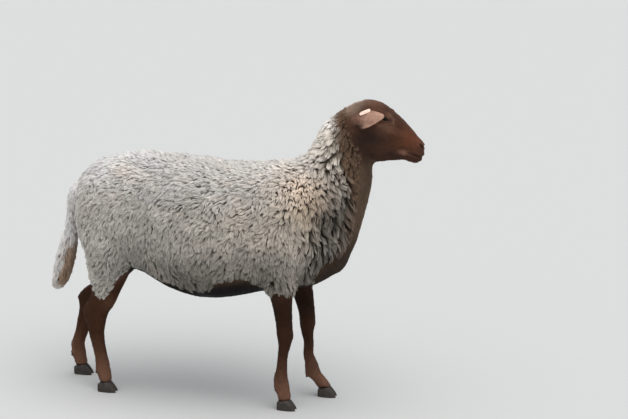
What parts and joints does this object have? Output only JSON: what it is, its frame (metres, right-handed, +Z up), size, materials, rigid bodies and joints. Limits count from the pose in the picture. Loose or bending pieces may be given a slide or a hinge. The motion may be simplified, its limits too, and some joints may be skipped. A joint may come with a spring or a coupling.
{
  "type": "sheep figure",
  "caption": "Life-size standing hornless ewe with a shaggy pale fleece, a russet woolless head and legs, a full tail and an ear tag.",
  "frame": {"origin": "on the floor, under the middle of the figure's bounding box", "axes": "+X towards the head, +Y to the animal's left, +Z up"},
  "size_m": [1.0608, 0.3826, 0.892],
  "materials": {
    "fleece": "matte crimped wool locks, grey-beige with paler tips and darker partings",
    "hair": "short close hair, deep russet, with a slight sheen",
    "horn": "dull dark horn of the cloven hooves",
    "eye": "wet, very dark amber eye with a level slot pupil",
    "tag": "smooth pale salmon plastic, blank"
  },
  "bodies": {
    "root": {"neck": "fleece", "thorax": "fleece", "abdomen": "fleece", "rump": "fleece", "tail": "fleece", "right_upper_arm": "fleece", "left_upper_arm": "fleece", "right_thigh": "fleece", "left_thigh": "fleece", "head": "hair", "lower_jaw": "hair", "right_ear": "hair", "left_ear": "hair", "right_forearm": "hair", "right_fore_cannon": "hair", "right_fore_pastern": "hair", "right_shank": "hair", "right_hind_cannon": "hair", "right_hind_pastern": "hair", "left_forearm": "hair", "left_fore_cannon": "hair", "left_fore_pastern": "hair", "left_shank": "hair", "left_hind_cannon": "hair", "left_hind_pastern": "hair", "right_fore_outer_claw": "horn", "right_fore_inner_claw": "horn", "right_hind_outer_claw": "horn", "right_hind_inner_claw": "horn", "left_fore_outer_claw": "horn", "left_fore_inner_claw": "horn", "left_hind_outer_claw": "horn", "left_hind_inner_claw": "horn", "right_eye": "eye", "left_eye": "eye", "ear_tag_front": "tag", "ear_tag_back": "tag"}
  },
  "joints": []
}
